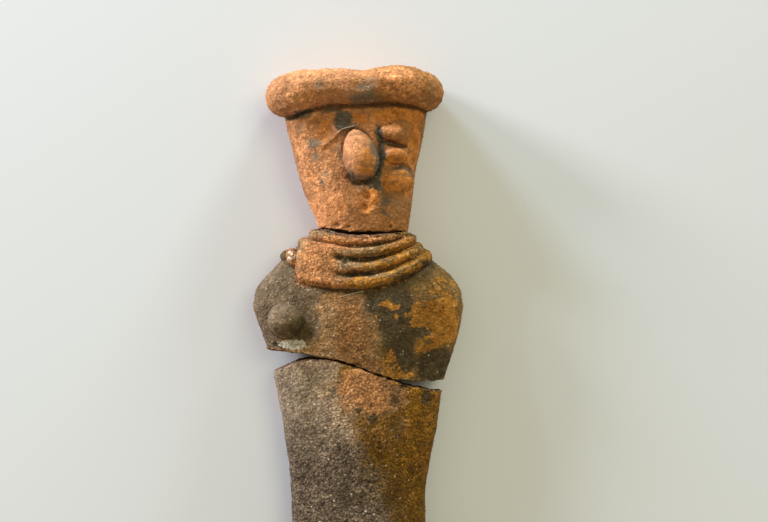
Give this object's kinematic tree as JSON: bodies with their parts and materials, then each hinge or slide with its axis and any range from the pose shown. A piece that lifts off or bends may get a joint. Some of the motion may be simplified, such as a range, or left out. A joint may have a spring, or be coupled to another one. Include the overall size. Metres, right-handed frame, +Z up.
{
  "type": "priest statuette",
  "caption": "Schematic fired-clay figurine with a rolled turban, pellet nose and coiled collar, lying on its back, broken apart at the neck and across the chest.",
  "frame": {"origin": "on the floor, under the middle of the box", "axes": "+X to the right seen from above, +Y from the foot towards the head, +Z up out of the face"},
  "size_m": [0.0458, 0.1442, 0.0204],
  "materials": {
    "head_clay": "matt, gritty orange fired clay with worn brown slip",
    "chest_clay": "matt, gritty fired clay, grey on one side, ochre and dark brown on the other",
    "lower_body_clay": "matt, gritty fired clay, grey-brown with an ochre side"
  },
  "bodies": {
    "root": {"head_fragment": "head_clay", "chest_fragment": "chest_clay", "lower_body_fragment": "lower_body_clay"}
  },
  "joints": []
}
